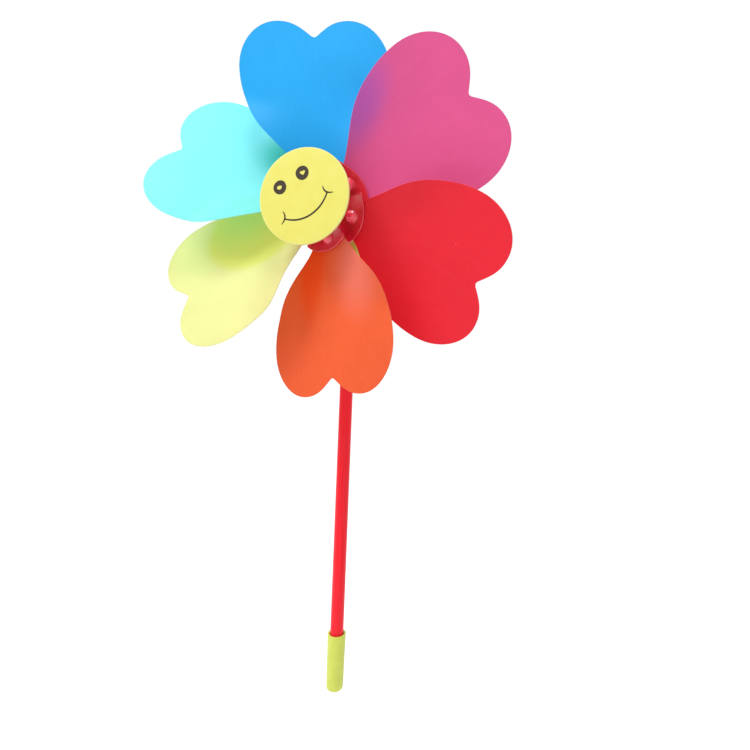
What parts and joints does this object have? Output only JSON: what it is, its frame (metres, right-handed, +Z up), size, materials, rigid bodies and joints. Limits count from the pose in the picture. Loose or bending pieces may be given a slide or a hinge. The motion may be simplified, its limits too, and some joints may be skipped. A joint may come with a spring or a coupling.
{
  "type": "pinwheel",
  "caption": "Hand-held pinwheel: a spinning wheel of pitched heart-shaped plastic petals round a smiling disc, on a thin hollow stick with a capped foot.",
  "frame": {"origin": "centre of the flat end of the foot cap, at the bottom of the stick", "axes": "+Z up the stick, +Y to the back of the wheel along its axis, +X to the right seen from the front, so that the wheel faces -Y"},
  "size_m": [0.229, 0.0829, 0.4419],
  "materials": {
    "lime_plastic": "satin",
    "stick_red": "gloss",
    "hub_crimson": "gloss",
    "face_yellow": "satin",
    "sheet_pink": "satin",
    "sheet_blue": "satin",
    "sheet_cyan": "satin",
    "sheet_yellow": "satin",
    "sheet_orange": "satin",
    "sheet_red": "satin",
    "white_foam": "matte",
    "steel_pin": "brushed",
    "face_ink": "matte"
  },
  "bodies": {
    "stick": {"stick": "stick_red", "foot_cap": "lime_plastic", "stick_head": "lime_plastic", "axle": "steel_pin", "axle_push_nut": "steel_pin", "axle_washer": "lime_plastic"},
    "wheel": {"hub_front": "hub_crimson", "hub_back": "hub_crimson", "petal_pink": "sheet_pink", "petal_blue": "sheet_blue", "petal_cyan": "sheet_cyan", "petal_yellow": "sheet_yellow", "petal_orange": "sheet_orange", "petal_red": "sheet_red", "face_pad": "white_foam", "face_disc": "face_yellow"}
  },
  "joints": [
    {"name": "wheel_spin", "type": "hinge", "parent": "stick", "child": "wheel", "pos_m": [0, -0.042, 0.324], "axis": [0, -1, 0], "continuous": true}
  ]
}
